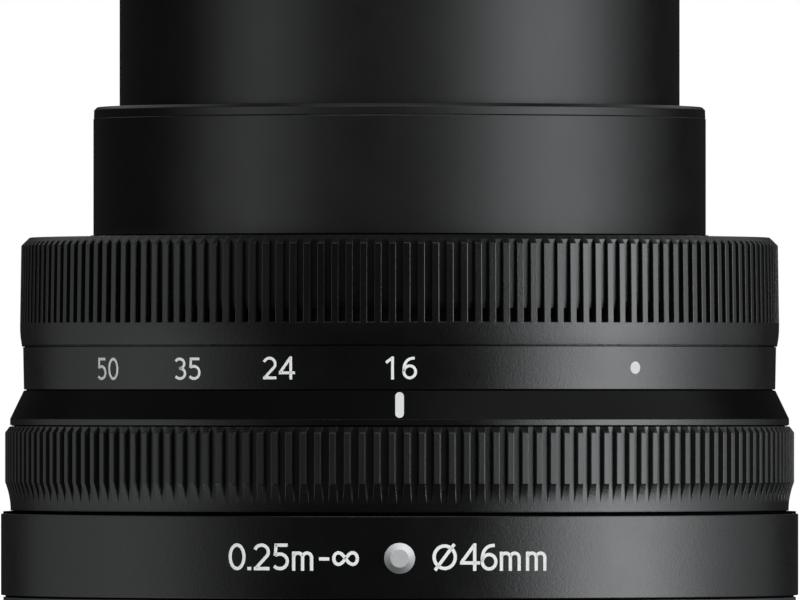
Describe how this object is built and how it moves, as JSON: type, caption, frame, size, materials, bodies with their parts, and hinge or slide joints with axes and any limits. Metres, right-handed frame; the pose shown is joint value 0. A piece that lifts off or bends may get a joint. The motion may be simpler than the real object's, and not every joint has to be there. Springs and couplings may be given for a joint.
{
  "type": "camera zoom lens",
  "caption": "Collapsible camera zoom lens with two telescoping tubes, knurled zoom and control rings, an iris, a focus unit and a bayonet mount.",
  "frame": {"origin": "on the optical axis, in the plane of the mount flange", "axes": "+Z along the optical axis to the front; -Y points to the index line and the mount index bead"},
  "size_m": [0.07, 0.0705, 0.0622],
  "materials": {
    "barrel_plastic": "satin black moulded plastic with a fine grain",
    "ring_plastic": "satin black moulded plastic, knurled",
    "tube_plastic": "satin black moulded plastic",
    "white_mark": "white moulded bead",
    "inner_plastic": "matt black moulded plastic",
    "blade_film": "black coated thin blades",
    "guide_metal": "black anodised",
    "pin_metal": "turned",
    "steel": "plain steel",
    "magnet": "bonded magnet strip",
    "felt": "black felt",
    "circuit": "printed circuit board",
    "chip": "moulded chips",
    "gold_contact": "gold plated",
    "coated_glass": "coated optical glass"
  },
  "bodies": {
    "barrel": {"bayonet_mount": "barrel_plastic", "mount_screws": "steel", "rear_barrel": "barrel_plastic", "mount_index_bead": "white_mark", "index_collar": "barrel_plastic", "fixed_barrel": "inner_plastic", "hall_sensor": "chip", "rear_baffle": "inner_plastic", "contact_block": "inner_plastic", "contact_pins": "gold_contact", "rear_frame": "inner_plastic", "rear_element": "coated_glass", "rear_retaining_ring": "inner_plastic", "circuit_board": "circuit", "board_chips": "chip", "focus_motor": "steel", "motor_bracket": "steel", "focus_guide_rods": "steel"},
    "focus_screw": {"lead_screw": "steel"},
    "focus_group": {"focus_carriage": "inner_plastic", "focus_element": "coated_glass"},
    "control_ring": {"control_ring": "ring_plastic", "control_magnet_ring": "magnet"},
    "zoom_drive": {"zoom_drive_ring": "inner_plastic"},
    "zoom_ring": {"zoom_scale_ring": "ring_plastic", "zoom_grip": "ring_plastic", "zoom_felt_ring": "felt"},
    "outer_tube": {"outer_tube": "tube_plastic", "outer_trim_ring": "tube_plastic", "outer_felt_ring": "felt", "linear_guide": "guide_metal"},
    "cam_tube": {"cam_tube": "guide_metal", "cam_drive_pins": "pin_metal"},
    "inner_tube": {"inner_tube": "tube_plastic", "inner_follower_pins": "pin_metal", "filter_ring": "tube_plastic", "front_trim_ring": "tube_plastic", "front_cell": "inner_plastic", "front_element": "coated_glass", "second_element": "coated_glass", "third_element": "coated_glass"},
    "variator": {"variator_cell": "inner_plastic", "fourth_element": "coated_glass", "fifth_element": "coated_glass", "sixth_element": "coated_glass", "iris_base": "inner_plastic", "iris_cover": "inner_plastic"},
    "iris_ring": {"iris_drive_ring": "inner_plastic"},
    "iris_blade_1": {"iris_blade_1": "blade_film"},
    "iris_blade_2": {"iris_blade_2": "blade_film"},
    "iris_blade_3": {"iris_blade_3": "blade_film"},
    "iris_blade_4": {"iris_blade_4": "blade_film"},
    "iris_blade_5": {"iris_blade_5": "blade_film"},
    "iris_blade_6": {"iris_blade_6": "blade_film"},
    "iris_blade_7": {"iris_blade_7": "blade_film"}
  },
  "joints": [
    {"name": "control_turn", "type": "hinge", "parent": "barrel", "child": "control_ring", "pos_m": [0, 0, 0.0118], "axis": [0, 0, 1], "continuous": true},
    {"name": "retract_turn", "type": "hinge", "parent": "barrel", "child": "zoom_drive", "pos_m": [0, 0, 0.02], "axis": [0, 0, 1], "range_deg": [-38.9, 0]},
    {"name": "zoom_turn", "type": "hinge", "parent": "zoom_drive", "child": "zoom_ring", "pos_m": [0, 0, 0.025], "axis": [0, 0, 1], "range_deg": [0, 50.7]},
    {"name": "outer_slide", "type": "slide", "parent": "barrel", "child": "outer_tube", "axis": [0, 0, 1], "range_m": [-0.0115, 0]},
    {"name": "cam_turn", "type": "hinge", "parent": "outer_tube", "child": "cam_tube", "pos_m": [0, 0, 0.028], "axis": [0, 0, 1], "range_deg": [-38.9, 0]},
    {"name": "inner_slide", "type": "slide", "parent": "outer_tube", "child": "inner_tube", "axis": [0, 0, 1], "range_m": [-0.0135, 0]},
    {"name": "variator_slide", "type": "slide", "parent": "outer_tube", "child": "variator", "axis": [0, 0, 1], "range_m": [0, 0.004]},
    {"name": "iris_turn", "type": "hinge", "parent": "variator", "child": "iris_ring", "pos_m": [0, 0, 0.026], "axis": [0, 0, 1], "range_deg": [0, 4.25]},
    {"name": "focus_screw_turn", "type": "hinge", "parent": "barrel", "child": "focus_screw", "pos_m": [0, 0.0182, 0.004], "axis": [0, 0, 1], "range_deg": [-288, 792]},
    {"name": "focus_slide", "type": "slide", "parent": "barrel", "child": "focus_group", "axis": [0, 0, 1], "range_m": [-0.0004, 0.0011]},
    {"name": "blade_1_turn", "type": "hinge", "parent": "variator", "child": "iris_blade_1", "pos_m": [0.012, 0, 0.024], "axis": [0, 0, 1], "range_deg": [0, 30]},
    {"name": "blade_2_turn", "type": "hinge", "parent": "variator", "child": "iris_blade_2", "pos_m": [0.00748, 0.00938, 0.024], "axis": [0, 0, 1], "range_deg": [0, 30]},
    {"name": "blade_3_turn", "type": "hinge", "parent": "variator", "child": "iris_blade_3", "pos_m": [-0.00267, 0.0117, 0.024], "axis": [0, 0, 1], "range_deg": [0, 30]},
    {"name": "blade_4_turn", "type": "hinge", "parent": "variator", "child": "iris_blade_4", "pos_m": [-0.01081, 0.00521, 0.024], "axis": [0, 0, 1], "range_deg": [0, 30]},
    {"name": "blade_5_turn", "type": "hinge", "parent": "variator", "child": "iris_blade_5", "pos_m": [-0.01081, -0.00521, 0.024], "axis": [0, 0, 1], "range_deg": [0, 30]},
    {"name": "blade_6_turn", "type": "hinge", "parent": "variator", "child": "iris_blade_6", "pos_m": [-0.00267, -0.0117, 0.024], "axis": [0, 0, 1], "range_deg": [0, 30]},
    {"name": "blade_7_turn", "type": "hinge", "parent": "variator", "child": "iris_blade_7", "pos_m": [0.00748, -0.00938, 0.024], "axis": [0, 0, 1], "range_deg": [0, 30]}
  ],
  "couplings": [
    {"joint": "retract_turn", "follows": "outer_slide", "rad_per_m": 59.038},
    {"joint": "cam_turn", "follows": "outer_slide", "rad_per_m": 59.038},
    {"joint": "inner_slide", "follows": "outer_slide", "ratio": 1.1739},
    {"joint": "variator_slide", "follows": "zoom_turn", "m_per_rad": 0.0045203},
    {"joint": "focus_screw_turn", "follows": "focus_slide", "rad_per_m": 12566},
    {"joint": "blade_1_turn", "follows": "iris_turn", "ratio": 7.0494},
    {"joint": "blade_2_turn", "follows": "iris_turn", "ratio": 7.0494},
    {"joint": "blade_3_turn", "follows": "iris_turn", "ratio": 7.0494},
    {"joint": "blade_4_turn", "follows": "iris_turn", "ratio": 7.0494},
    {"joint": "blade_5_turn", "follows": "iris_turn", "ratio": 7.0494},
    {"joint": "blade_6_turn", "follows": "iris_turn", "ratio": 7.0494},
    {"joint": "blade_7_turn", "follows": "iris_turn", "ratio": 7.0494}
  ]
}
